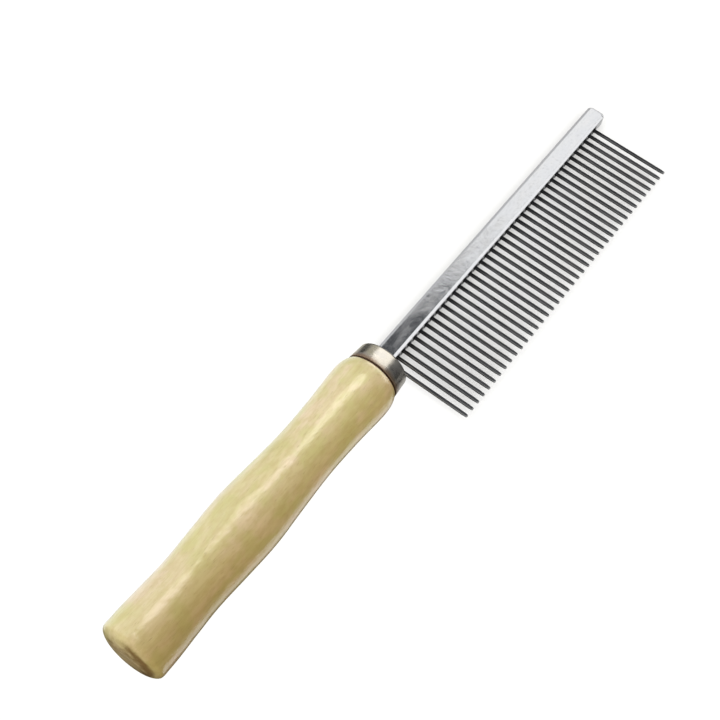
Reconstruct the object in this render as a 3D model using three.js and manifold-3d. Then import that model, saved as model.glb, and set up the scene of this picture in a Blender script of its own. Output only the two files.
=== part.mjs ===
// Steel grooming comb with a turned wooden handle.
//
// Frame: the origin is the centre of the small flat on the handle's rounded butt. +X runs along the
// handle's axis to the far end of the comb, +Z is up, out of the comb's flat top face, and the teeth
// point towards -Y.
// All sizes are in millimetres.

import * as THREE from 'three';
import { mergeVertices } from 'three/addons/utils/BufferGeometryUtils.js';
import Module from 'manifold-3d';

const wasm = await Module();
wasm.setup();

// ---------------------------------------------------------------- driving dimensions

const OVERALL_LENGTH = 200;

// Row of teeth
const TOOTH_COUNT = 40;
const TOOTH_PITCH = 2.5;
const TOOTH_RADIUS = 0.5;
const TOOTH_FREE_LENGTH = 23.2;
const TOOTH_SHANK_LENGTH = 3.5;
const TOOTH_TAPER_LENGTH = 1.5;
const TOOTH_POINT_RADIUS = 0.36;
const TOOTH_POINT_LENGTH = 0.25;
const TOOTH_SIDES = 10;

// Spine bar
const SPINE_WIDTH = 5.2;
const SPINE_THICKNESS = 4;
const SPINE_TOOTH_SIDE_Y = -1.7;
const SPINE_BEVEL_WIDTH = 0.75;
const SPINE_BEVEL_DEPTH = 0.45;
const SPINE_END_RADIUS = 1.3;
const SPINE_END_MARGIN = 5.5;
const SPINE_SHOULDER_MARGIN = 0.9;
const SHOULDER_CLEARANCE = 0.1;
const TOOTH_HOLE_RADIUS = 0.65;
const TOOTH_HOLE_DEPTH = 3.8;
const TANG_WIDTH = 3;
const TANG_THICKNESS = 3;
const TANG_LENGTH = 36;

// Handle
const HANDLE_LENGTH = 90.2;
const BUTT_FLAT_RADIUS = 2;
const BUTT_ROUND_DEPTH = 2.5;
const BUTT_RADIUS = 8.7;
// Stations of the outer curve: butt, rear waist, palm bulge, front waist, front bulge, shoulder.
const HANDLE_STATIONS = [
  { x: BUTT_ROUND_DEPTH, radius: BUTT_RADIUS },
  { x: 7, radius: 8.72 },
  { x: 14, radius: 8.4 },
  { x: 22, radius: 8.15 },
  { x: 32, radius: 8.58 },
  { x: 42, radius: 8.9 },
  { x: 53, radius: 8.28 },
  { x: 64, radius: 7.75 },
  { x: 75, radius: 7.95 },
  { x: 86.3, radius: 8.5 },
  { x: 88.9, radius: 8.1 },
  { x: HANDLE_LENGTH, radius: 7.55 },
];
const TENON_LENGTH = 4.7;
const TENON_ROOT_RADIUS = 6.3;
const TENON_FRONT_RADIUS = 5.6;
const BORE_RADIUS = 3.6;
const BORE_DEPTH = 38;

// Ferrule
const FERRULE_WALL = 0.8;
const FERRULE_BACK_RADIUS = 7.5;
const FERRULE_FRONT_RADIUS = 7.05;
const FERRULE_EDGE_ROUND = 0.7;

// Clearances between touching pieces
const GAP = 0.3;
const SHOULDER_GAP = 0.6;
const TANG_CLEARANCE = 0.15;

// Length by which a cutter or an overlapping join passes the face it works on
const CUT_REACH = 1;

// Fineness of the curved faces
const ROUND_SEGMENTS = 48;
const PLUG_SEGMENTS = 24;
const HOLE_SEGMENTS = 12;
const HANDLE_CURVE_STEPS = 33;
const BUTT_ROUND_STEPS = 8;
const FERRULE_ROUND_STEPS = 5;
const CORNER_STEPS = 5;

// ---------------------------------------------------------------- places along the X axis

const SPINE_END_X = OVERALL_LENGTH;
const LAST_TOOTH_X = SPINE_END_X - SPINE_END_MARGIN;
const FIRST_TOOTH_X = LAST_TOOTH_X - (TOOTH_COUNT - 1) * TOOTH_PITCH;
const SPINE_SHOULDER_X = FIRST_TOOTH_X - SPINE_SHOULDER_MARGIN;
const FERRULE_FRONT_X = SPINE_SHOULDER_X - SHOULDER_CLEARANCE;
const FERRULE_BACK_X = HANDLE_LENGTH + SHOULDER_GAP;

// ---------------------------------------------------------------- geometry helpers

// Turns a profile of (radius, x) points about the X axis.
function turned(profile, segments = ROUND_SEGMENTS) {
  const points = profile.map(([radius, x]) => new THREE.Vector2(radius, x));
  const geometry = new THREE.LatheGeometry(points, segments);
  geometry.rotateZ(-Math.PI / 2);
  return geometry;
}

// Points of a quarter ellipse round an edge, both ends included. It starts at startAngle: 0 is on the
// end face, a quarter turn further is on the outer side.
function quarterArc({ centreRadius, centreX, radialSize, axialSize, startAngle, steps }) {
  const points = [];
  for (let step = 0; step <= steps; step += 1) {
    const angle = startAngle + (step / steps) * (Math.PI / 2);
    points.push([
      centreRadius + radialSize * Math.sin(angle),
      centreX - axialSize * Math.cos(angle),
    ]);
  }
  return points;
}

function toSolid(geometry) {
  const bare = geometry.clone();
  bare.deleteAttribute('normal');
  bare.deleteAttribute('uv');
  const merged = mergeVertices(bare);
  return new wasm.Manifold(new wasm.Mesh({
    numProp: 3,
    vertProperties: new Float32Array(merged.attributes.position.array),
    triVerts: new Uint32Array(merged.index.array),
  }));
}

function toGeometry(solid) {
  const { vertProperties, triVerts } = solid.getMesh();
  const geometry = new THREE.BufferGeometry();
  geometry.setAttribute('position', new THREE.BufferAttribute(vertProperties, 3));
  geometry.setIndex(new THREE.BufferAttribute(triVerts, 1));
  geometry.computeVertexNormals();
  return geometry;
}

// A box from x0 to x1, centred on the X axis.
function axialBox(x0, x1, width, thickness) {
  const geometry = new THREE.BoxGeometry(x1 - x0, width, thickness);
  geometry.translate((x0 + x1) / 2, 0, 0);
  return geometry;
}

function mesh(name, geometry, material) {
  const piece = new THREE.Mesh(geometry, material);
  piece.name = name;
  return piece;
}

// ---------------------------------------------------------------- handle

// Outer curve of the handle from the butt edge to the shoulder, as points of (radius, x) on a smooth
// curve through the stations.
function handleCurve() {
  const curve = new THREE.CatmullRomCurve3(
    HANDLE_STATIONS.map(({ x, radius }) => new THREE.Vector3(x, radius, 0)),
    false,
    'centripetal',
  );
  return curve.getPoints(HANDLE_CURVE_STEPS).map((point) => [point.y, point.x]);
}

// Turned wooden handle with a tenon for the ferrule and a blind bore for the tang.
function makeHandle() {
  const buttRound = quarterArc({
    centreRadius: BUTT_FLAT_RADIUS,
    centreX: BUTT_ROUND_DEPTH,
    radialSize: BUTT_RADIUS - BUTT_FLAT_RADIUS,
    axialSize: BUTT_ROUND_DEPTH,
    startAngle: 0,
    steps: BUTT_ROUND_STEPS,
  });
  const tenonFrontX = HANDLE_LENGTH + TENON_LENGTH;
  const boreBottomX = tenonFrontX - BORE_DEPTH;
  const profile = [
    [0, 0],
    ...buttRound,
    ...handleCurve().slice(1),
    [TENON_ROOT_RADIUS, HANDLE_LENGTH],
    [TENON_FRONT_RADIUS, tenonFrontX],
    [BORE_RADIUS, tenonFrontX],
    [BORE_RADIUS, boreBottomX],
    [0, boreBottomX],
  ];
  const material = new THREE.MeshStandardMaterial({ color: 0xd9c793, roughness: 0.35, metalness: 0 });
  return mesh('handle', turned(profile), material);
}

// Set adhesive that fills the bore round the tang: a cup, open at the front.
function makeTangGlue() {
  const frontX = HANDLE_LENGTH + TENON_LENGTH - GAP;
  const backX = HANDLE_LENGTH + TENON_LENGTH - BORE_DEPTH + GAP;
  const radius = BORE_RADIUS - GAP;
  const plug = turned([[0, backX], [radius, backX], [radius, frontX], [0, frontX]], PLUG_SEGMENTS);
  const socket = axialBox(
    SPINE_SHOULDER_X - TANG_LENGTH - GAP,
    frontX + CUT_REACH,
    TANG_WIDTH + 2 * TANG_CLEARANCE,
    TANG_THICKNESS + 2 * TANG_CLEARANCE,
  );
  const solid = toSolid(plug).subtract(toSolid(socket));
  const material = new THREE.MeshStandardMaterial({ color: 0xb9a26a, roughness: 0.5, metalness: 0 });
  return mesh('tang_glue', toGeometry(solid), material);
}

// ---------------------------------------------------------------- ferrule

// Drawn steel cap with a slot for the tang in its closed front.
function makeFerrule() {
  const innerFrontX = FERRULE_FRONT_X - FERRULE_WALL;
  const frontEdge = quarterArc({
    centreRadius: FERRULE_FRONT_RADIUS - FERRULE_EDGE_ROUND,
    centreX: FERRULE_FRONT_X - FERRULE_EDGE_ROUND,
    radialSize: FERRULE_EDGE_ROUND,
    axialSize: FERRULE_EDGE_ROUND,
    startAngle: Math.PI / 2,
    steps: FERRULE_ROUND_STEPS,
  });
  const profile = [
    [0, innerFrontX],
    [FERRULE_FRONT_RADIUS - FERRULE_WALL, innerFrontX],
    [FERRULE_BACK_RADIUS - FERRULE_WALL, FERRULE_BACK_X],
    [FERRULE_BACK_RADIUS, FERRULE_BACK_X],
    ...frontEdge,
    [0, FERRULE_FRONT_X],
  ];
  const slot = axialBox(
    innerFrontX - CUT_REACH,
    FERRULE_FRONT_X + CUT_REACH,
    TANG_WIDTH + 2 * TANG_CLEARANCE,
    TANG_THICKNESS + 2 * TANG_CLEARANCE,
  );
  const solid = toSolid(turned(profile)).subtract(toSolid(slot));
  const material = new THREE.MeshStandardMaterial({ color: 0x9a938c, roughness: 0.28, metalness: 1 });
  return mesh('ferrule', toGeometry(solid), material);
}

// ---------------------------------------------------------------- spine

// Outline of the bar seen from above, with its two far corners rounded. It starts behind the
// shoulder, where the bar is cut square.
function spineOutline(backX) {
  const low = SPINE_TOOTH_SIDE_Y;
  const high = SPINE_TOOTH_SIDE_Y + SPINE_WIDTH;
  const round = SPINE_END_RADIUS;
  const shape = new THREE.Shape();
  shape.moveTo(backX, low);
  shape.lineTo(SPINE_END_X - round, low);
  shape.absarc(SPINE_END_X - round, low + round, round, -Math.PI / 2, 0, false);
  shape.lineTo(SPINE_END_X, high - round);
  shape.absarc(SPINE_END_X - round, high - round, round, 0, Math.PI / 2, false);
  shape.lineTo(backX, high);
  shape.closePath();
  return shape;
}

function toothX(index) {
  return FIRST_TOOTH_X + index * TOOTH_PITCH;
}

// Cutter for the blind hole of one tooth, reaching out past the tooth side of the bar.
function toothHole(index) {
  const length = TOOTH_HOLE_DEPTH + CUT_REACH;
  const geometry = new THREE.CylinderGeometry(
    TOOTH_HOLE_RADIUS,
    TOOTH_HOLE_RADIUS,
    length,
    HOLE_SEGMENTS,
  );
  geometry.translate(toothX(index), SPINE_TOOTH_SIDE_Y - CUT_REACH + length / 2, 0);
  return geometry;
}

// Steel bar with bevelled edges. It is extruded with a waste length behind the shoulder, which a
// square cut takes off.
function makeBar() {
  const waste = 2 * CUT_REACH;
  const bar = new THREE.ExtrudeGeometry(spineOutline(SPINE_SHOULDER_X - waste), {
    depth: SPINE_THICKNESS - 2 * SPINE_BEVEL_DEPTH,
    bevelEnabled: true,
    bevelThickness: SPINE_BEVEL_DEPTH,
    bevelSize: SPINE_BEVEL_WIDTH,
    bevelOffset: -SPINE_BEVEL_WIDTH,
    bevelSegments: 1,
    curveSegments: CORNER_STEPS,
  });
  bar.translate(0, 0, SPINE_BEVEL_DEPTH - SPINE_THICKNESS / 2);
  const cutter = axialBox(
    SPINE_SHOULDER_X - waste - CUT_REACH,
    SPINE_SHOULDER_X,
    2 * (SPINE_WIDTH + CUT_REACH),
    SPINE_THICKNESS + 2 * CUT_REACH,
  );
  return toSolid(bar).subtract(toSolid(cutter));
}

// Bar with a reduced tang at the handle end and a drilled hole for each tooth.
function makeSpine() {
  const tang = axialBox(
    SPINE_SHOULDER_X - TANG_LENGTH,
    SPINE_SHOULDER_X + CUT_REACH,
    TANG_WIDTH,
    TANG_THICKNESS,
  );
  let solid = makeBar().add(toSolid(tang));
  for (let index = 0; index < TOOTH_COUNT; index += 1) {
    solid = solid.subtract(toSolid(toothHole(index)));
  }
  const material = new THREE.MeshStandardMaterial({ color: 0xc4c6ca, roughness: 0.3, metalness: 1 });
  return mesh('spine', toGeometry(solid), material);
}

// ---------------------------------------------------------------- teeth

// One wire tooth along -Y: shank in the spine, straight shaft, tapered blunt point.
function toothGeometry() {
  const tip = -TOOTH_FREE_LENGTH;
  const points = [
    [0, tip],
    [TOOTH_POINT_RADIUS, tip + TOOTH_POINT_LENGTH],
    [TOOTH_RADIUS, tip + TOOTH_TAPER_LENGTH],
    [TOOTH_RADIUS, TOOTH_SHANK_LENGTH],
    [0, TOOTH_SHANK_LENGTH],
  ];
  return new THREE.LatheGeometry(points.map(([radius, y]) => new THREE.Vector2(radius, y)), TOOTH_SIDES);
}

function makeTeeth() {
  const teeth = new THREE.Group();
  for (let index = 0; index < TOOTH_COUNT; index += 1) {
    const material = new THREE.MeshStandardMaterial({ color: 0x8f9196, roughness: 0.3, metalness: 1 });
    const name = `tooth_${String(index + 1).padStart(2, '0')}`;
    const tooth = mesh(name, toothGeometry(), material);
    tooth.position.set(toothX(index), SPINE_TOOTH_SIDE_Y, 0);
    teeth.add(tooth);
  }
  return teeth;
}

// ---------------------------------------------------------------- assembly

const comb = new THREE.Group();
comb.add(makeHandle(), makeTangGlue(), makeFerrule(), makeSpine(), makeTeeth());

export default comb;
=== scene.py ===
"""Looks of the steel grooming comb: fine meshes, procedural materials, studio light and camera.

The comb lies along +X, with the middle of its butt at the origin, its teeth towards -Y and its flat
top up. Shapes are worked out in millimetres and turned into metres when a mesh is made.
"""
import math

import bpy
from mathutils import Matrix, Quaternion, Vector
from mathutils.geometry import interpolate_bezier


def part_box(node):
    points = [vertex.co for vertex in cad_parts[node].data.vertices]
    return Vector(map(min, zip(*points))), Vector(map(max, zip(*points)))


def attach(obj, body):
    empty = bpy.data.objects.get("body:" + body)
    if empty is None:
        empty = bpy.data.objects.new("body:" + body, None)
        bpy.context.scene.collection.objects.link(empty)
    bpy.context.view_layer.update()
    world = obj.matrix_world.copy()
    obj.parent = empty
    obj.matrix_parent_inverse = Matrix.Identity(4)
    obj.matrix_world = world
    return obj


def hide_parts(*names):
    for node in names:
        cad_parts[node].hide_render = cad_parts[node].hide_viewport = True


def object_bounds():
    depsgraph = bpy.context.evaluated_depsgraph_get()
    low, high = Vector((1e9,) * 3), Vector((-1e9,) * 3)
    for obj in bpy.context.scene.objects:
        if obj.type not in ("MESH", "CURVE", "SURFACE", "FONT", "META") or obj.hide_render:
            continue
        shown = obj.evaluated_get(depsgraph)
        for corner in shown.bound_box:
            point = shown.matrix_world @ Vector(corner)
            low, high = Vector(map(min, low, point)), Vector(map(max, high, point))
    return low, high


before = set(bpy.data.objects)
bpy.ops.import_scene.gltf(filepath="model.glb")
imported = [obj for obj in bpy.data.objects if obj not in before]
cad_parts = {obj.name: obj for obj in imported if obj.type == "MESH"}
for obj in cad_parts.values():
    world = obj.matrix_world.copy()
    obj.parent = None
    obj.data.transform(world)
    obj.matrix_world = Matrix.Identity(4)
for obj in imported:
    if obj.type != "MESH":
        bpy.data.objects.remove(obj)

scene = bpy.context.scene
cad_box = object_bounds()

MM = 0.001
BODY = "root"

# ---------------------------------------------------------------- sizes, in millimetres

HANDLE_SEGMENTS = 160
HANDLE_CURVE_STEPS = 4
BUTT_ROUND_DEPTH = 2.5
TENON_ROOT_RADIUS = 6.3
TENON_FRONT_RADIUS = 5.6
BORE_RADIUS = 3.6
BORE_DEPTH = 38
WOOD_EDGE = 0.15

FERRULE_SEGMENTS = 128
FERRULE_WALL = 0.8
FERRULE_FRONT_RADIUS = 7.05
FERRULE_FRONT_ROUND = 0.7
FERRULE_RIM_ROUND = 0.15

TANG_SIDE = 3
TANG_LENGTH = 36
TANG_CLEARANCE = 0.15
SPINE_BEVEL_WIDTH = 0.75
SPINE_BEVEL_DEPTH = 0.45
SPINE_BEVEL_EASE = 0.12
FLAT_FACE_INSET = 1.1
SPINE_END_RADIUS = 1.3
END_CORNER_STEPS = 10
HOLE_RADIUS = 0.65
HOLE_DEPTH = 3.8
HOLE_MOUTH_RADIUS = 0.8
HOLE_MOUTH_DEPTH = 0.15
HOLE_SEGMENTS = 24

TOOTH_SEGMENTS = 20
TOOTH_TAPER_LENGTH = 1.5
TOOTH_POINT_RADIUS = 0.40
TOOTH_POINT_ROUND = 0.32
TOOTH_SHOULDER_ROUND = 6
TOOTH_SHANK_ROUND = 0.08

CUT_REACH = 1
FILLET_STEPS = 5
ON_AXIS = 1e-6
SHARP_ANGLE = 35

# Where marks on the surfaces start and end, in millimetres.
PITH_OFFSET = (0, 13, 24)
GRAIN_WANDER = (0, 7, 7)
# The handle's tooth side gets painted light and shade, over these lengths along and across it.
PAINTED_SIDE_LIGHT_LENGTH = (5, 80)
PAINTED_SIDE_LIGHT_EDGE = (-1.5, 2.5)
BUTT_STAIN_EDGE = (-0.6, 0.2)
BUTT_LINE_SPREAD = (0.10, 0.65)
JOINT_LINE_BACK = 0.9
JOINT_LINE_FRONT = 0.5
# Painted shade on the bar next to the cap and round the tooth holes, with a dark joint at each root.
HEEL_SHADE_EDGE = (-1.0, 1.6)
HOLE_SHADE_DEPTH = (0.05, 0.40)
TARNISH_EDGE = (-1.2, 0.5)
# How far the lighter tips and the painted shade at the tooth roots reach.
LIGHTER_TIP_LENGTH = 9
DARK_ROOT_LENGTH = 4.8
DARK_ROOT_FULL = 0.2
# Squared distances from a tooth's axis, in square millimetres.
HOLE_SHADE_SPREAD = (0.8, 2.9)

# ---------------------------------------------------------------- camera and light

CAMERA_TARGET = (0.092886, 0.005198, 0)
CAMERA_DISTANCE = 0.333877
CAMERA_AZIMUTH = -61.761
CAMERA_ELEVATION = 60.383
CAMERA_ROLL = 9.744
CAMERA_LENS = 66.693
CAMERA_SENSOR = 36
CAMERA_NEAR = 0.01

LIGHT_DISTANCE = 1.2
FLOOR_SIZE = 6
FLOOR_TONE = 0.4
FLOOR_GLOW = 0.32
WHITE = (1, 1, 1)
OVERHEAD_AZIMUTH = -162
OVERHEAD_ELEVATION = 57
OVERHEAD_SPREAD = 30
OVERHEAD_STRENGTH = 5.6
HORIZON_FADE = (-0.25, 0.15)
SKY_LIGHT = (0.41, 0.40, 0.36)
GROUND_LIGHT = (0.33, 0.32, 0.27)
SKY_REFLECTED = (0.078, 0.081, 0.088)
GROUND_REFLECTED = (0.025, 0.024, 0.022)


# ---------------------------------------------------------------- outlines and solids

def filleted(corners):
    """Points of an outline whose corners, given as (x, y, rounding), are rounded by arcs."""
    points = []
    for index, (x, y, rounding) in enumerate(corners):
        corner = Vector((x, y))
        if rounding == 0:
            points.append(corner)
            continue
        back = (Vector(corners[index - 1][:2]) - corner).normalized()
        ahead = (Vector(corners[index + 1][:2]) - corner).normalized()
        half_angle = back.angle(ahead) / 2
        centre = corner + (back + ahead).normalized() * rounding / math.sin(half_angle)
        start = corner + back * rounding / math.tan(half_angle) - centre
        end = corner + ahead * rounding / math.tan(half_angle) - centre
        for step in range(FILLET_STEPS + 1):
            points.append(centre + start.lerp(end, step / FILLET_STEPS).normalized() * rounding)
    return points


def smooth_curve(points, steps):
    """Points on a smooth curve through the given ones."""
    knots = [Vector(point).to_3d() for point in points]
    chords = [b - a for a, b in zip(knots, knots[1:])]
    tangents = [chords[0].normalized()]
    for a, b in zip(chords, chords[1:]):
        tangents.append((a.normalized() * b.length + b.normalized() * a.length).normalized())
    tangents.append(chords[-1].normalized())
    curve = []
    for index, chord in enumerate(chords):
        reach = chord.length / 3
        start, end = knots[index], knots[index + 1]
        handles = (start + tangents[index] * reach, end - tangents[index + 1] * reach)
        curve += interpolate_bezier(start, *handles, end, steps + 1)[:-1]
    return [point.to_2d() for point in curve + knots[-1:]]


def lathe(profile, segments):
    """A solid turned about the X axis from points of (x, radius) that start and end on the axis."""
    vertices, rings, faces = [], [], []
    for x, radius in profile:
        count = 1 if radius < ON_AXIS else segments
        rings.append([len(vertices) + index % count for index in range(segments + 1)])
        for index in range(count):
            angle = 2 * math.pi * index / segments
            vertices.append(Vector((x, radius * math.cos(angle), radius * math.sin(angle))))
    for near, far in zip(rings, rings[1:]):
        for k in range(segments):
            corners = (near[k], near[k + 1], far[k + 1], far[k])
            faces.append(tuple(dict.fromkeys(corners)))
    return vertices, faces


def box_solid(low, high):
    """A box between two corners."""
    vertices = [Vector((x, y, z)) for x in (low[0], high[0]) for y in (low[1], high[1])
                for z in (low[2], high[2])]
    faces = [(0, 1, 3, 2), (4, 6, 7, 5), (0, 4, 5, 1), (2, 3, 7, 6), (0, 2, 6, 4), (1, 5, 7, 3)]
    return vertices, faces


def stacked(outlines):
    """A solid from outlines of equal point counts, one above the other, closed at both ends."""
    count = len(outlines[0])
    vertices = [point for outline in outlines for point in outline]
    faces = [tuple(reversed(range(count)))]
    for level in range(len(outlines) - 1):
        for k in range(count):
            a = level * count + k
            b = level * count + (k + 1) % count
            faces.append((a, b, b + count, a + count))
    faces.append(tuple(range(len(vertices) - count, len(vertices))))
    return vertices, faces


def moved(solid, matrix):
    """The same solid turned and shifted by a matrix."""
    vertices, faces = solid
    return [matrix @ vertex for vertex in vertices], faces


def joined(solids):
    """Several solids that don't touch, as one list of vertices and faces."""
    vertices, faces = [], []
    for more_vertices, more_faces in solids:
        faces += [tuple(index + len(vertices) for index in face) for face in more_faces]
        vertices += more_vertices
    return vertices, faces


def add_mesh(name, solid):
    """A mesh object, in metres, from a solid in millimetres."""
    vertices, faces = solid
    mesh = bpy.data.meshes.new(name)
    mesh.from_pydata([vertex * MM for vertex in vertices], [], faces)
    thing = bpy.data.objects.new(name, mesh)
    scene.collection.objects.link(thing)
    return thing


def carve(thing, solid, operation):
    """Joins a solid to an object or cuts it away, and keeps the result as the object's mesh."""
    tool = add_mesh(thing.name + "_tool", solid)
    modifier = thing.modifiers.new("carve", "BOOLEAN")
    modifier.object = tool
    modifier.operation = operation
    modifier.solver = "EXACT"
    bpy.context.view_layer.update()
    evaluated = thing.evaluated_get(bpy.context.evaluated_depsgraph_get())
    carved = bpy.data.meshes.new_from_object(evaluated)
    thing.modifiers.clear()
    thing.data = carved
    bpy.data.objects.remove(tool)


def finish_piece(thing, node, material):
    """Smooths a piece's shading, gives it its material and lets it stand for its CAD node."""
    thing.data.shade_smooth()
    thing.data.set_sharp_from_angle(angle=math.radians(SHARP_ANGLE))
    thing.data.materials.clear()
    thing.data.materials.append(material)
    weighted = thing.modifiers.new("even_shading", "WEIGHTED_NORMAL")
    weighted.keep_sharp = True
    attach(thing, BODY)
    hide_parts(node)
    return thing


def box_mm(node):
    """Lowest and highest corner of a CAD node, in millimetres."""
    low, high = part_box(node)
    return low / MM, high / MM


def tooth_nodes():
    """The CAD nodes of the teeth, in order from the handle to the far end."""
    return sorted(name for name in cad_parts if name.startswith("tooth_"))


# ---------------------------------------------------------------- node graphs

class Graph:
    """A node tree, with short ways to add nodes and join them."""

    def __init__(self, tree):
        self.tree = tree

    def add(self, kind, inputs=None, **settings):
        node = self.tree.nodes.new("ShaderNode" + kind)
        for key, value in settings.items():
            setattr(node, key, value)
        for key, value in (inputs or {}).items():
            self.feed(node.inputs[key], value)
        return node

    def feed(self, socket, value):
        if isinstance(value, bpy.types.NodeSocket):
            self.tree.links.new(value, socket)
        else:
            socket.default_value = value

    def vector(self, operation, a, b=None, **named):
        inputs = {0: a, **named}
        if b is not None:
            inputs[1] = b
        return self.add("VectorMath", inputs, operation=operation).outputs[0]

    def noise(self, place, detail=3, roughness=0.5, distortion=0):
        inputs = {"Vector": place, "Scale": 1, "Detail": detail, "Roughness": roughness,
                  "Distortion": distortion}
        return self.add("TexNoise", inputs).outputs["Fac"]

    def math(self, operation, a, b=0.0, c=0.0):
        node = self.add("Math", {0: a, 1: b, 2: c}, operation=operation)
        return node.outputs[0]

    def fade(self, value, low, high, to_low=0.0, to_high=1.0):
        """Smoothly carries a value's range low to high over to another range."""
        inputs = {"Value": value, "From Min": low, "From Max": high, "To Min": to_low,
                  "To Max": to_high}
        return self.add("MapRange", inputs, interpolation_type="SMOOTHSTEP").outputs["Result"]

    def mix(self, share, a, b, blend="MIX"):
        inputs = {"Factor": share, "A": a, "B": b}
        node = self.tree.nodes.new("ShaderNodeMix")
        node.data_type = "RGBA"
        node.blend_type = blend
        for key, value in inputs.items():
            kind = "VALUE" if key == "Factor" else "RGBA"
            socket = next(s for s in node.inputs if s.name == key and s.type == kind)
            self.feed(socket, value)
        return next(s for s in node.outputs if s.type == "RGBA")

    def bump(self, height, distance, strength=1.0, normal=None):
        inputs = {"Height": height, "Distance": distance * MM, "Strength": strength}
        if normal is not None:
            inputs["Normal"] = normal
        return self.add("Bump", inputs).outputs["Normal"]


class Surface(Graph):
    """The node tree of a new material, with places on the comb in millimetres."""

    def __init__(self, name):
        self.material = bpy.data.materials.new(name)
        self.material.use_nodes = True
        super().__init__(self.material.node_tree)
        self.shader = self.tree.nodes["Principled BSDF"]
        place = self.add("TexCoord").outputs["Object"]
        self.place = self.vector("SCALE", place, Scale=1 / MM)

    def stretched(self, scale, place=None):
        """Places in millimetres, scaled by axis."""
        return self.vector("MULTIPLY", place or self.place, scale)

    def split(self):
        """The x, y and z of each place, in millimetres."""
        return self.add("SeparateXYZ", {0: self.place}).outputs

    def set(self, **values):
        """Sets or joins sockets of the shader, named with _ for a space."""
        for key, value in values.items():
            self.feed(self.shader.inputs[key.replace("_", " ")], value)


def colour(red, green, blue):
    return (red, green, blue, 1)


# ---------------------------------------------------------------- materials

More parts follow.
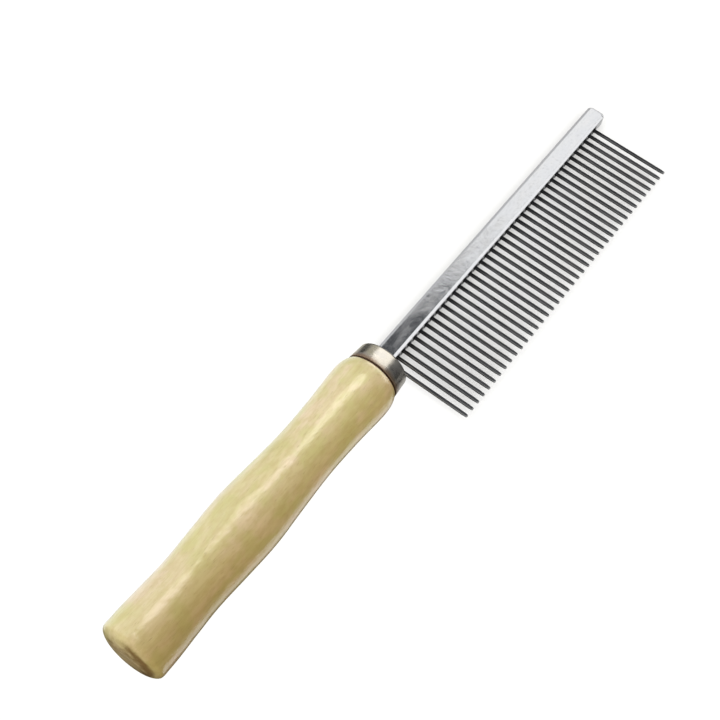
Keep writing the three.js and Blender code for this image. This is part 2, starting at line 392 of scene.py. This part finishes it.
def wood_material():
    """Pale lacquered beech: growth layers, fibres, pores, painted light and shade on the tooth side
    (darker towards the butt), a stained butt edge with painted shade towards -Y, and darker wood
    with painted shade at the gap before the cap.
    """
    graph = Surface("lacquered_wood")
    wander = graph.noise(graph.stretched((0.012, 0.06, 0.06)), detail=2)
    wandering = graph.vector("MULTIPLY_ADD", wander, GRAIN_WANDER)
    graph.feed(wandering.node.inputs[2], graph.place)
    from_pith = graph.vector("ADD", wandering, PITH_OFFSET)
    rings = graph.add("TexWave", {"Vector": from_pith, "Scale": 0.16, "Distortion": 1.4, "Detail": 2,
                                  "Detail Scale": 0.5}, wave_type="RINGS",
                      rings_direction="X").outputs["Fac"]
    fibres = graph.noise(graph.stretched((0.16, 1.9, 1.9), wandering), detail=5, roughness=0.65)
    patches = graph.noise(graph.stretched((0.05, 0.22, 0.22)), detail=3)
    cloud = graph.noise(graph.stretched((0.13, 0.20, 0.20)), detail=3)
    mottle = graph.noise(graph.stretched((0.42, 0.75, 0.75)), detail=3)
    pores = graph.fade(graph.noise(graph.stretched((0.5, 5, 5)), detail=2), 0.62, 0.74)

    late = graph.fade(rings, 0.15, 0.95)
    body = graph.mix(graph.fade(patches, 0.32, 0.68), colour(0.755, 0.645, 0.325),
                     colour(0.835, 0.660, 0.425))
    body = graph.mix(graph.fade(cloud, 0.40, 0.64, 0, 0.75), body, colour(0.665, 0.610, 0.245))
    body = graph.mix(graph.fade(mottle, 0.42, 0.66, 0, 0.30), body, colour(0.620, 0.470, 0.200))
    body = graph.mix(graph.math("MULTIPLY", late, 0.12), body, colour(0.520, 0.400, 0.170))
    body = graph.mix(graph.fade(fibres, 0.40, 0.72, 0, 0.30), body, colour(0.560, 0.440, 0.190))
    body = graph.mix(graph.math("MULTIPLY", pores, 0.35), body, colour(0.340, 0.235, 0.100))

    across = graph.split()
    # Painted light and shade on the tooth side: darker and warmer towards the butt, lighter and
    # bluer towards the cap.
    painted_side_light = graph.mix(graph.fade(across["X"], *PAINTED_SIDE_LIGHT_LENGTH), colour(0.88, 0.86, 0.80),
                          colour(1.12, 1.16, 1.24))
    tooth_side = graph.fade(across["Y"], *PAINTED_SIDE_LIGHT_EDGE, 1, 0)
    body = graph.mix(tooth_side, body, painted_side_light, "MULTIPLY")

    ragged = graph.noise(graph.stretched((0.5, 0.35, 0.35)), detail=4)
    edge = graph.math("MULTIPLY_ADD", ragged, -1.0, across["X"])
    stain_and_shade = graph.noise(graph.stretched((0.3, 0.28, 0.28)), detail=4, roughness=0.6)
    end_colour = graph.mix(graph.fade(stain_and_shade, 0.40, 0.65), colour(0.820, 0.670, 0.400),
                           colour(0.640, 0.480, 0.250))
    end_colour = graph.mix(graph.math("MULTIPLY", late, 0.35), end_colour,
                           colour(0.400, 0.270, 0.120))
    body = graph.mix(graph.fade(edge, *BUTT_STAIN_EDGE, 1, 0), body, end_colour)
    # A dark brown stain line along the butt edge, made heavier towards -Y as painted shade on the
    # shaded side.
    off_edge = graph.math("ABSOLUTE", edge)
    shaded_side_weight = graph.math("MULTIPLY_ADD", across["Y"], -0.045, stain_and_shade)
    rim = graph.math("MULTIPLY", graph.fade(off_edge, *BUTT_LINE_SPREAD, 0.95, 0),
                     graph.fade(shaded_side_weight, 0.24, 0.60))
    body = graph.mix(rim, body, colour(0.250, 0.150, 0.050))
    # Dark brown at the shoulder face and tenon before the cap: darker wood, and painted shade in the
    # gap.
    shoulder = box_mm("ferrule")[0].x
    joint_and_gap_shade = graph.fade(across["X"], shoulder - JOINT_LINE_BACK, shoulder - JOINT_LINE_FRONT)
    body = graph.mix(joint_and_gap_shade, body, colour(0.260, 0.135, 0.065))

    roughness = graph.fade(fibres, 0.3, 0.7, 0.40, 0.55)
    grain = graph.bump(fibres, 0.02, 0.5)
    grain = graph.bump(pores, -0.03, 0.5, grain)
    lacquer = graph.noise(graph.stretched((0.12, 0.22, 0.22)), detail=2)
    fine = graph.noise(graph.stretched((0.6, 1.1, 1.1)), detail=3)
    coat = graph.bump(lacquer, 0.24)
    coat = graph.bump(fine, 0.08, 1, coat)
    graph.set(Base_Color=body, Roughness=roughness, Normal=grain, Coat_Weight=1.0,
              Coat_Roughness=0.20, Coat_IOR=1.5, Coat_Normal=coat, Specular_IOR_Level=0.3)
    return graph.material


def glue_material():
    """Set amber adhesive with faint clouding."""
    graph = Surface("tang_adhesive")
    cloud = graph.noise(graph.stretched((0.4, 0.4, 0.4)), detail=4)
    body = graph.mix(cloud, colour(0.42, 0.27, 0.09), colour(0.58, 0.42, 0.17))
    ripple = graph.bump(graph.noise(graph.stretched((1.2, 1.2, 1.2))), 0.05)
    graph.set(Base_Color=body, Roughness=graph.fade(cloud, 0.3, 0.7, 0.35, 0.55), Normal=ripple)
    return graph.material


def tooth_root_shade(graph):
    """Painted shade round each tooth hole, with a dark joint at the root, fading out over the edge
    above.
    """
    names = tooth_nodes()
    centres = [sum(corner.x for corner in box_mm(name)) / 2 for name in (names[0], names[1])]
    pitch = centres[1] - centres[0]
    side = box_mm("spine")[0].y
    across = graph.split()
    along = graph.math("SUBTRACT", across["X"], centres[0])
    nearest = graph.math("PINGPONG", along, pitch / 2)
    away = graph.math("POWER", nearest, 2.0)
    away = graph.math("MULTIPLY_ADD", across["Z"], across["Z"], away)
    ring = graph.fade(away, *HOLE_SHADE_SPREAD, 1, 0)
    past_last = graph.fade(along, pitch * (len(names) - 0.7), pitch * (len(names) - 0.4), 1, 0)
    full, none = (side + depth for depth in HOLE_SHADE_DEPTH)
    face = graph.fade(across["Y"], full, none, 1, 0)
    return graph.math("MULTIPLY", ring, graph.math("MULTIPLY", past_last, face))


def spine_material():
    """Ground and polished steel bar: lengthwise grinding lines, soft smudges, slight unevenness,
    painted shade next to the cap and round the tooth holes.
    """
    graph = Surface("spine_steel")
    lines = graph.noise(graph.stretched((0.07, 9, 9)), detail=4, roughness=0.6)
    smudges = graph.noise(graph.stretched((0.16, 0.35, 0.35)), detail=5, roughness=0.62)
    specks = graph.noise(graph.stretched((1.6, 1.6, 1.6)), detail=3, roughness=0.6)
    lighter_share = graph.fade(smudges, 0.38, 0.68)
    body = graph.mix(lighter_share, colour(0.600, 0.606, 0.618), colour(0.660, 0.661, 0.662))
    body = graph.mix(graph.fade(specks, 0.52, 0.70, 0, 0.45), body, colour(0.46, 0.465, 0.475))
    body = graph.mix(graph.fade(lines, 0.4, 0.7, 0, 0.12), body, colour(0.45, 0.46, 0.48))
    # Painted shade on the bar next to the cap, with a ragged edge.
    shoulder = box_mm("ferrule")[1].x
    along = graph.math("SUBTRACT", graph.split()["X"], shoulder)
    along = graph.math("MULTIPLY_ADD", specks, -3.0, along)
    heel_shade = graph.fade(along, *HEEL_SHADE_EDGE, 0.85, 0)
    body = graph.mix(heel_shade, body, colour(0.16, 0.16, 0.17))
    # Painted shade round each tooth hole, with a dark joint at the root.
    stain_and_shade = tooth_root_shade(graph)
    body = graph.mix(stain_and_shade, body, colour(0.025, 0.025, 0.028))
    roughness = graph.fade(smudges, 0.35, 0.70, 0.12, 0.22)
    roughness = graph.math("MULTIPLY_ADD", stain_and_shade, 0.35, roughness)
    wave = graph.noise(graph.stretched((0.10, 0.16, 0.16)), detail=2)
    dents = graph.noise(graph.stretched((0.7, 0.9, 0.9)), detail=2)
    normal = graph.bump(wave, 0.07)
    normal = graph.bump(dents, 0.016, 1, normal)
    normal = graph.bump(lines, 0.008, 0.6, normal)
    graph.set(Base_Color=body, Metallic=1.0, Roughness=roughness, Normal=normal)
    return graph.material


def ferrule_material():
    """Drawn steel cap: fine turning lines round the axis and a brown tarnish next to the wood."""
    graph = Surface("ferrule_steel")
    turning = graph.noise(graph.stretched((11, 0.25, 0.25)), detail=3)
    smudges = graph.noise(graph.stretched((0.4, 0.3, 0.3)), detail=5, roughness=0.6)
    body = graph.mix(graph.fade(smudges, 0.35, 0.7), colour(0.60, 0.565, 0.49),
                     colour(0.70, 0.67, 0.62))
    body = graph.mix(graph.fade(turning, 0.4, 0.7, 0, 0.2), body, colour(0.42, 0.40, 0.34))
    low, _ = box_mm("ferrule")
    along = graph.math("SUBTRACT", graph.split()["X"], low.x)
    ragged = graph.math("MULTIPLY_ADD", smudges, -2.4, along)
    tarnish = graph.fade(ragged, *TARNISH_EDGE, 0.9, 0)
    body = graph.mix(tarnish, body, colour(0.23, 0.135, 0.07))
    roughness = graph.fade(smudges, 0.35, 0.7, 0.22, 0.36)
    wave = graph.noise(graph.stretched((0.18, 0.18, 0.18)), detail=2)
    normal = graph.bump(wave, 0.25)
    normal = graph.bump(turning, 0.006, 0.6, normal)
    metallic = graph.math("MULTIPLY_ADD", tarnish, -0.6, 1.0)
    graph.set(Base_Color=body, Metallic=metallic, Roughness=roughness, Normal=normal)
    return graph.material


def tooth_material():
    """Drawn steel wire: lengthwise die lines, slow changes of tone, painted shade towards the roots,
    tips made lighter.
    """
    graph = Surface("tooth_steel")
    lines = graph.noise(graph.stretched((7, 0.10, 7)), detail=3)
    tone = graph.noise(graph.stretched((0.9, 0.12, 0.5)), detail=3)
    body = graph.mix(tone, colour(0.38, 0.38, 0.385), colour(0.52, 0.52, 0.525))
    body = graph.mix(graph.fade(lines, 0.45, 0.7, 0, 0.3), body, colour(0.25, 0.25, 0.255))
    along = graph.split()["Y"]
    # The teeth are made lighter towards their tips.
    tips = box_mm(tooth_nodes()[0])[0].y
    lighter_share = graph.fade(along, tips, tips + LIGHTER_TIP_LENGTH, 0.6, 0)
    body = graph.mix(lighter_share, body, colour(0.72, 0.72, 0.72))
    side = box_mm("spine")[0].y
    # Painted shade on each tooth next to the bar, darkest at the root.
    root = graph.fade(along, side - DARK_ROOT_LENGTH, side - DARK_ROOT_FULL, 0, 0.85)
    body = graph.mix(root, body, colour(0.05, 0.05, 0.055))
    roughness = graph.fade(tone, 0.3, 0.7, 0.22, 0.36)
    graph.set(Base_Color=body, Metallic=1.0, Roughness=roughness,
              Normal=graph.bump(lines, 0.01, 0.6))
    return graph.material


# ---------------------------------------------------------------- handle

def widest_rings(node):
    """The widest ring of a turned CAD node at each x, as points of (x, radius), back to front."""
    rings = {}
    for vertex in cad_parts[node].data.vertices:
        place = vertex.co / MM
        x = round(place.x, 2)
        rings[x] = max(math.hypot(place.y, place.z), rings.get(x, 0))
    return sorted(rings.items())


def make_handle():
    """The turned handle, with a finer curve through the CAD rings, its tenon and its bore."""
    *rings, (front, _) = widest_rings("handle")
    rings = [(x, radius) for x, radius in rings
             if x < BUTT_ROUND_DEPTH or radius > TENON_FRONT_RADIUS]
    widest = box_mm("handle")[1].z
    face_centre = (rings[0][0], 0)
    curve = [(max(x, 0), min(radius, widest))
             for x, radius in smooth_curve(rings, HANDLE_CURVE_STEPS)]
    shoulder = rings[-1][0]
    inside = filleted([
        (*curve[-1], 0),
        (shoulder, TENON_ROOT_RADIUS, 0),
        (front, TENON_FRONT_RADIUS, WOOD_EDGE),
        (front, BORE_RADIUS, 0),
        (front - BORE_DEPTH, BORE_RADIUS, 0),
        (front - BORE_DEPTH, 0, 0),
    ])
    profile = [face_centre, *curve, *inside[1:]]
    handle = add_mesh("handle_wood", lathe(profile, HANDLE_SEGMENTS))
    return finish_piece(handle, "handle", wood_material())


# ---------------------------------------------------------------- ferrule

def make_ferrule():
    """The steel cap, with eased rims and a square slot for the tang."""
    low, high = box_mm("ferrule")
    back_radius = high.z
    inner_front = high.x - FERRULE_WALL
    profile = filleted([
        (inner_front, 0, 0),
        (inner_front, FERRULE_FRONT_RADIUS - FERRULE_WALL, FERRULE_RIM_ROUND),
        (low.x, back_radius - FERRULE_WALL, FERRULE_RIM_ROUND),
        (low.x, back_radius, FERRULE_RIM_ROUND),
        (high.x, FERRULE_FRONT_RADIUS, FERRULE_FRONT_ROUND),
        (high.x, 0, 0),
    ])
    ferrule = add_mesh("ferrule_cap", lathe(profile, FERRULE_SEGMENTS))
    half = TANG_SIDE / 2 + TANG_CLEARANCE
    slot = box_solid((inner_front - CUT_REACH, -half, -half), (high.x + CUT_REACH, half, half))
    carve(ferrule, slot, "DIFFERENCE")
    return finish_piece(ferrule, "ferrule", ferrule_material())


# ---------------------------------------------------------------- spine

def spine_outline(back, low, high, inset, z):
    """The bar seen from above, drawn in by an inset on its long sides and its rounded far end."""
    rounding = SPINE_END_RADIUS - inset
    end = high.x - SPINE_END_RADIUS
    corners = [(low.y + SPINE_END_RADIUS, -90), (high.y - SPINE_END_RADIUS, 0)]
    points = [Vector((back, low.y + inset, z))]
    for centre_y, start in corners:
        for step in range(END_CORNER_STEPS + 1):
            angle = math.radians(start + 90 * step / END_CORNER_STEPS)
            points.append(Vector((end + rounding * math.cos(angle),
                                  centre_y + rounding * math.sin(angle), z)))
    points.append(Vector((back, high.y - inset, z)))
    return points


def tooth_matrix(name, side):
    """Turns a solid made along +X so that it points from the bar's tooth side along -Y."""
    low, high = box_mm(name)
    turn = Matrix.Rotation(-math.pi / 2, 4, "Z")
    return Matrix.Translation(((low.x + high.x) / 2, side, 0)) @ turn


def make_spine():
    """The bar with eased bevels and rounded far corners, its tang and the drilled tooth holes."""
    low, high = box_mm("spine")
    shoulder = low.x + TANG_LENGTH
    half = high.z
    edge = filleted([
        (FLAT_FACE_INSET, -half, 0),
        (SPINE_BEVEL_WIDTH, -half, SPINE_BEVEL_EASE),
        (0, SPINE_BEVEL_DEPTH - half, SPINE_BEVEL_EASE),
        (0, half - SPINE_BEVEL_DEPTH, SPINE_BEVEL_EASE),
        (SPINE_BEVEL_WIDTH, half, SPINE_BEVEL_EASE),
        (FLAT_FACE_INSET, half, 0),
    ])
    outlines = [spine_outline(shoulder, low, high, inset, z) for inset, z in edge]
    spine = add_mesh("spine_bar", stacked(outlines))
    tang = TANG_SIDE / 2
    carve(spine, box_solid((low.x, -tang, -tang), (shoulder + CUT_REACH, tang, tang)), "UNION")
    hole = lathe([
        (-HOLE_DEPTH, 0),
        (-HOLE_DEPTH, HOLE_RADIUS),
        (-HOLE_MOUTH_DEPTH, HOLE_RADIUS),
        (0, HOLE_MOUTH_RADIUS),
        (CUT_REACH, HOLE_MOUTH_RADIUS),
        (CUT_REACH, 0),
    ], HOLE_SEGMENTS)
    holes = joined([moved(hole, tooth_matrix(name, low.y)) for name in tooth_nodes()])
    carve(spine, holes, "DIFFERENCE")
    return finish_piece(spine, "spine", spine_material())


# ---------------------------------------------------------------- teeth

def make_teeth():
    """One round wire tooth for each CAD tooth, with a long taper to a small rounded point."""
    material = tooth_material()
    side = box_mm("spine")[0].y
    teeth = []
    for name in tooth_nodes():
        low, high = box_mm(name)
        radius = high.z
        shank = side - high.y
        tip = side - low.y
        profile = filleted([
            (shank, 0, 0),
            (shank, radius, TOOTH_SHANK_ROUND),
            (tip - TOOTH_TAPER_LENGTH, radius, TOOTH_SHOULDER_ROUND),
            (tip, TOOTH_POINT_RADIUS, TOOTH_POINT_ROUND),
            (tip, 0, 0),
        ])
        solid = moved(lathe(profile, TOOTH_SEGMENTS), tooth_matrix(name, side))
        wire = add_mesh(name + "_wire", solid)
        teeth.append(finish_piece(wire, name, material))
    return teeth


# ---------------------------------------------------------------- stage, light and camera

def direction(azimuth, elevation):
    """Unit vector for an azimuth turned from +X towards +Y and an elevation, in degrees."""
    a, e = math.radians(azimuth), math.radians(elevation)
    return Vector((math.cos(a) * math.cos(e), math.sin(a) * math.cos(e), math.sin(e)))


def make_floor():
    """A plain white floor just under the comb."""
    half = FLOOR_SIZE / 2 / MM
    z = cad_box[0].z / MM
    square = [Vector((x, y, z)) for x, y in ((-half, -half), (half, -half), (half, half),
                                             (-half, half))]
    floor = add_mesh("floor", (square, [(0, 1, 2, 3)]))
    graph = Surface("floor_white")
    graph.set(Base_Color=colour(FLOOR_TONE, FLOOR_TONE, FLOOR_TONE), Roughness=1.0,
              Specular_IOR_Level=0.0, Emission_Color=colour(*WHITE), Emission_Strength=FLOOR_GLOW)
    floor.data.materials.append(graph.material)
    floor.visible_glossy = False
    floor.visible_diffuse = False
    floor.visible_shadow = False
    return floor


def make_world():
    """A pale backdrop, soft fill, and dim surroundings in the reflections, darker from below."""
    world = bpy.data.worlds.new("studio")
    world.use_nodes = True
    scene.world = world
    graph = Graph(world.node_tree)
    graph.tree.nodes.clear()
    way = graph.add("TexCoord").outputs["Generated"]
    up = graph.fade(graph.add("SeparateXYZ", {0: way}).outputs["Z"], *HORIZON_FADE)
    rays = graph.add("LightPath").outputs
    lit, reflected = (
        graph.add("Background", {"Color": graph.mix(up, colour(*below), colour(*above))})
        for below, above in ((GROUND_LIGHT, SKY_LIGHT), (GROUND_REFLECTED, SKY_REFLECTED))
    )
    seen = graph.add("Background", {"Color": colour(*WHITE)})
    shader = graph.add("MixShader", {0: rays["Is Glossy Ray"], 1: lit.outputs[0],
                                     2: reflected.outputs[0]})
    shader = graph.add("MixShader", {0: rays["Is Camera Ray"], 1: shader.outputs[0],
                                     2: seen.outputs[0]})
    graph.add("OutputWorld", {0: shader.outputs[0]})


def softbox(name, azimuth, elevation, width, height, radiance, tint=WHITE, only=None,
            diffuse=True, glossy=True):
    """A softbox that takes up width by height degrees as the comb sees it, at a given radiance."""
    lamp = bpy.data.lights.new(name, "AREA")
    lamp.shape = "RECTANGLE"
    lamp.size = 2 * LIGHT_DISTANCE * math.tan(math.radians(width / 2))
    lamp.size_y = 2 * LIGHT_DISTANCE * math.tan(math.radians(height / 2))
    lamp.energy = radiance * math.pi * lamp.size * lamp.size_y
    lamp.color = tint
    light = bpy.data.objects.new(name, lamp)
    scene.collection.objects.link(light)
    out = direction(azimuth, elevation)
    centre = (cad_box[0] + cad_box[1]) / 2
    light.location = centre + out * LIGHT_DISTANCE
    light.rotation_mode = "QUATERNION"
    light.rotation_quaternion = out.to_track_quat("Z", "Y")
    light.visible_camera = False
    light.visible_diffuse = diffuse
    light.visible_glossy = glossy
    if only:
        shine_only_on(light, only)
    return light


def collected(name, things):
    """A collection of the given objects, for linking lights."""
    group = bpy.data.collections.new(name)
    for thing in things:
        group.objects.link(thing)
    return group


def shine_only_on(light, things):
    """Keeps a light off everything but the given objects."""
    light.light_linking.receiver_collection = collected(light.name + "_lit", things)


def overhead(floor, blockers):
    """Soft light from high above for the floor only, shaded just by the given objects."""
    lamp = bpy.data.lights.new("overhead", "SUN")
    lamp.angle = math.radians(OVERHEAD_SPREAD)
    lamp.energy = OVERHEAD_STRENGTH
    light = bpy.data.objects.new("overhead", lamp)
    light.rotation_mode = "QUATERNION"
    out = direction(OVERHEAD_AZIMUTH, OVERHEAD_ELEVATION)
    light.rotation_quaternion = out.to_track_quat("Z", "Y")
    scene.collection.objects.link(light)
    shine_only_on(light, [floor])
    light.light_linking.blocker_collection = collected("overhead_blockers", blockers)


def make_lights(handle, ferrule, spine, teeth, floor):
    """A soft key from behind the comb's back edge, and cards that each metal or the lacquer sees."""
    cap_and_bar = [ferrule, spine]
    metal = [*cap_and_bar, *teeth]
    softbox("key", 95, 40, 40, 40, 5.8, tint=(0.84, 0.90, 1.06), only=[handle, *metal],
            glossy=False)
    softbox("warm_fill", -100, 35, 40, 40, 1.2, tint=(1.0, 0.62, 0.02), only=[handle],
            glossy=False)
    softbox("butt_fill", 180, -5, 40, 40, 1.7, tint=(1.0, 0.94, 0.80), only=[handle],
            glossy=False)
    overhead(floor, [spine, *teeth])

    # Name, azimuth, elevation, width and height in degrees, radiance, tint, and what it shines on.
    cards = (
        ("lacquer_streak", 38, 67, 26, 16, 6.0, (1.0, 0.97, 0.88), [handle]),
        ("lacquer_rim", -62, -50, 40, 30, 1.2, WHITE, [handle]),
        ("lacquer_far_rim", 68, -38, 70, 52, 0.95, (0.94, 0.98, 1.0), [handle]),
        ("lacquer_shoulder", -6, 0, 60, 40, 3.2, (1.0, 0.98, 0.92), [handle]),
        ("spine_top", 20, 41.9, 50, 26.7, 1.25, WHITE, [spine]),
        ("spine_side", 0, -56, 110, 30, 0.6, WHITE, [spine]),
        ("spine_end", 8, -8, 62, 60, 0.8, WHITE, [spine]),
        ("bevel_side", -52, 36, 36, 26, 1.3, WHITE, [spine]),
        ("bevel_back", 66, 12, 44, 28, 0.68, WHITE, [spine]),
        ("ferrule_top", 6, 45, 60, 34, 1.65, (1.0, 0.98, 0.96), [ferrule]),
        ("ferrule_back", 50, 24, 34, 36, 0.50, (1.0, 0.96, 0.80), [ferrule]),
        ("ferrule_far_rim", 48, -46, 40, 36, 0.65, (1.0, 0.98, 0.88), [ferrule]),
        ("ferrule_near_rim", -34, -54, 36, 26, 0.5, WHITE, [ferrule]),
        ("tooth_side", 168, 5, 50, 60, 0.28, WHITE, teeth),
        ("tooth_front", -62, 20, 50, 60, 0.5, WHITE, teeth),
        ("tooth_rear", 105, 22, 70, 50, 0.5, WHITE, teeth),
        ("bar_front", -42, 6, 66, 24, 0.5, WHITE, [spine]),
        ("rear_wall", 130, 12, 70, 70, 0.6, WHITE, cap_and_bar),
        ("rear_floor", 100, -22, 70, 30, 0.5, WHITE, cap_and_bar),
        ("butt_wall", 180, 25, 90, 50, 0.7, WHITE, cap_and_bar),
        ("near_wall", -122, 15, 86, 70, 0.5, WHITE, metal),
        ("near_floor", -126, -34, 86, 28, 0.3, WHITE, metal),
        ("ceiling", 90, 90, 30, 30, 0.7, WHITE, cap_and_bar),
    )
    for name, azimuth, elevation, width, height, radiance, tint, seen_by in cards:
        softbox(name, azimuth, elevation, width, height, radiance, tint=tint, only=seen_by,
                diffuse=False)


def make_camera():
    """The camera looks down on the comb from beyond the butt and from the side of the teeth."""
    lens = bpy.data.cameras.new("camera")
    lens.lens = CAMERA_LENS
    lens.sensor_width = CAMERA_SENSOR
    lens.clip_start = CAMERA_NEAR
    camera = bpy.data.objects.new("camera", lens)
    scene.collection.objects.link(camera)
    back = direction(CAMERA_AZIMUTH - 90, CAMERA_ELEVATION)
    roll = Quaternion((0, 0, 1), math.radians(CAMERA_ROLL))
    camera.location = Vector(CAMERA_TARGET) + back * CAMERA_DISTANCE
    camera.rotation_mode = "QUATERNION"
    camera.rotation_quaternion = back.to_track_quat("Z", "Y") @ roll
    scene.camera = camera


# ---------------------------------------------------------------- the whole scene


handle = make_handle()
ferrule = make_ferrule()
spine = make_spine()
teeth = make_teeth()
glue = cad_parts["tang_glue"]
glue.data.materials.clear()
glue.data.materials.append(glue_material())

floor = make_floor()
make_world()
make_lights(handle, ferrule, spine, teeth, floor)
make_camera()
scene.view_settings.view_transform = "Standard"
